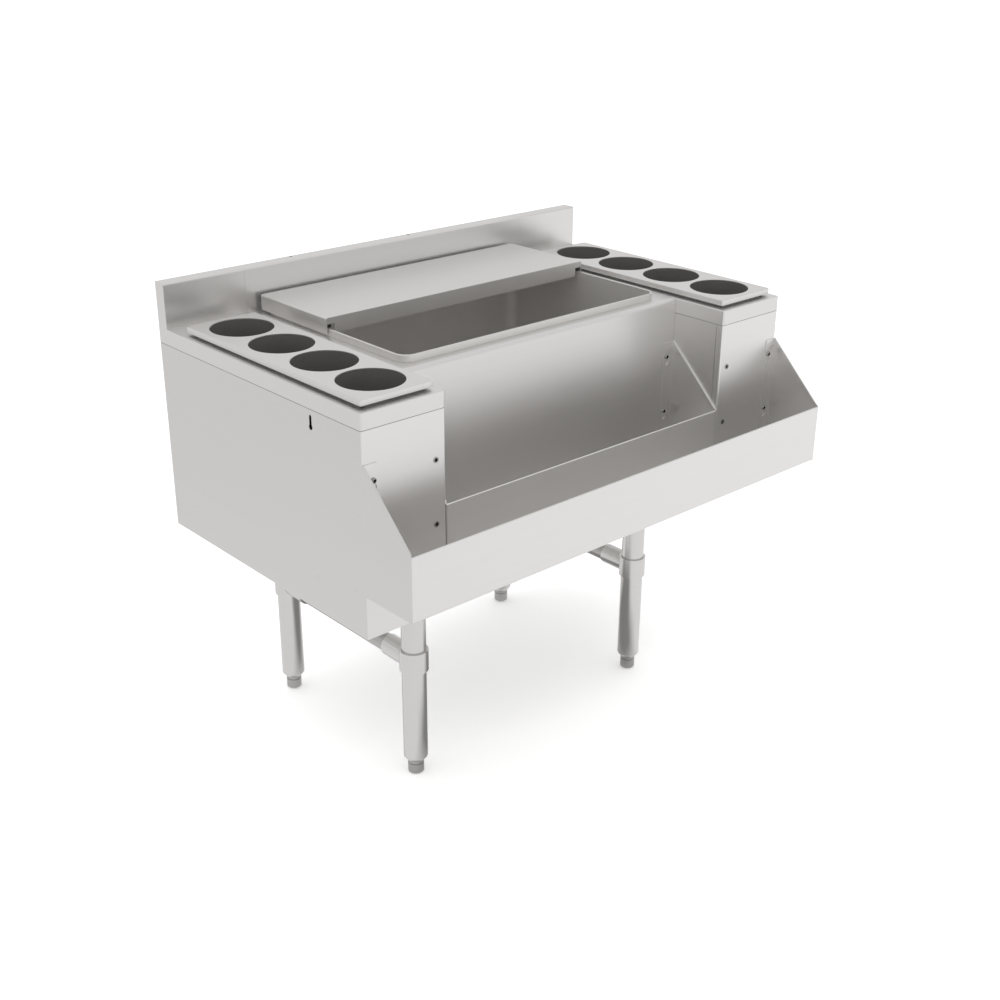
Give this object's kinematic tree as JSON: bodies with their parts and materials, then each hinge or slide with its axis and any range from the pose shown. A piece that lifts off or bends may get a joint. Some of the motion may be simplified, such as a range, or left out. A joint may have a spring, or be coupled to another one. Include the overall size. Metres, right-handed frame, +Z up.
{
  "type": "underbar ice bin",
  "caption": "Stainless underbar ice bin with a sliding lid between two insulated bottle wells, two stepped speed rails, a backsplash and four legs with adjustable feet.",
  "frame": {"origin": "on the floor, at the centre of the unit's width and of its depth over the outer rail", "axes": "+X to the user's right, +Y from the rails to the splash, +Z up"},
  "size_m": [0.9144, 0.645, 0.8116],
  "materials": {
    "stainless": "number 4 brushed",
    "fittings": "satin",
    "dark_plastic": "moulded, matte",
    "nylon": "black, machined",
    "foam": "dark rigid foam"
  },
  "bodies": {
    "cabinet": {"left_shell": "stainless", "left_back_panel": "stainless", "left_bottom_pan": "stainless", "left_deck": "stainless", "left_well_liner": "stainless", "left_insulation": "foam", "left_well_drain": "fittings", "right_shell": "stainless", "right_back_panel": "stainless", "right_bottom_pan": "stainless", "right_deck": "stainless", "right_well_liner": "stainless", "right_insulation": "foam", "right_well_drain": "fittings", "bin_deck": "stainless", "bin_shell": "stainless", "bin_bottom_pan": "stainless", "ice_tub": "stainless", "bin_insulation": "foam", "bin_drain": "fittings", "drain_strainer": "stainless", "inner_rail": "stainless", "inner_rail_left_end": "stainless", "inner_rail_right_end": "stainless", "outer_rail": "stainless", "outer_rail_left_end": "stainless", "outer_rail_right_end": "stainless", "rail_screws": "fittings", "front_threaded_inserts": "fittings", "side_rivets": "stainless", "front_left_leg": "stainless", "front_right_leg": "stainless", "rear_left_leg": "stainless", "rear_right_leg": "stainless", "front_left_tee": "fittings", "front_right_tee": "fittings", "rear_left_tee": "fittings", "rear_right_tee": "fittings", "left_crossrail": "stainless", "right_crossrail": "stainless", "tee_set_screws": "fittings"},
    "lid": {"lid": "stainless", "lid_glides": "nylon"},
    "left_cover": {"left_cover": "stainless", "left_bottle_tube_1": "dark_plastic", "left_bottle_tube_2": "dark_plastic", "left_bottle_tube_3": "dark_plastic", "left_bottle_tube_4": "dark_plastic"},
    "right_cover": {"right_cover": "stainless", "right_bottle_tube_1": "dark_plastic", "right_bottle_tube_2": "dark_plastic", "right_bottle_tube_3": "dark_plastic", "right_bottle_tube_4": "dark_plastic"},
    "front_left_foot": {"front_left_foot": "fittings"},
    "front_right_foot": {"front_right_foot": "fittings"},
    "rear_left_foot": {"rear_left_foot": "fittings"},
    "rear_right_foot": {"rear_right_foot": "fittings"}
  },
  "joints": [
    {"name": "lid_slide", "type": "slide", "parent": "cabinet", "child": "lid", "axis": [0, -1, 0], "range_m": [0, 0.183]},
    {"name": "left_cover_lift", "type": "slide", "parent": "cabinet", "child": "left_cover", "axis": [0, 0, 1], "range_m": [0, 0.22]},
    {"name": "right_cover_lift", "type": "slide", "parent": "cabinet", "child": "right_cover", "axis": [0, 0, 1], "range_m": [0, 0.22]},
    {"name": "front_left_foot_screw", "type": "slide", "parent": "cabinet", "child": "front_left_foot", "axis": [0, 0, -1], "range_m": [0, 0.02]},
    {"name": "front_right_foot_screw", "type": "slide", "parent": "cabinet", "child": "front_right_foot", "axis": [0, 0, -1], "range_m": [0, 0.02]},
    {"name": "rear_left_foot_screw", "type": "slide", "parent": "cabinet", "child": "rear_left_foot", "axis": [0, 0, -1], "range_m": [0, 0.02]},
    {"name": "rear_right_foot_screw", "type": "slide", "parent": "cabinet", "child": "rear_right_foot", "axis": [0, 0, -1], "range_m": [0, 0.02]}
  ]
}
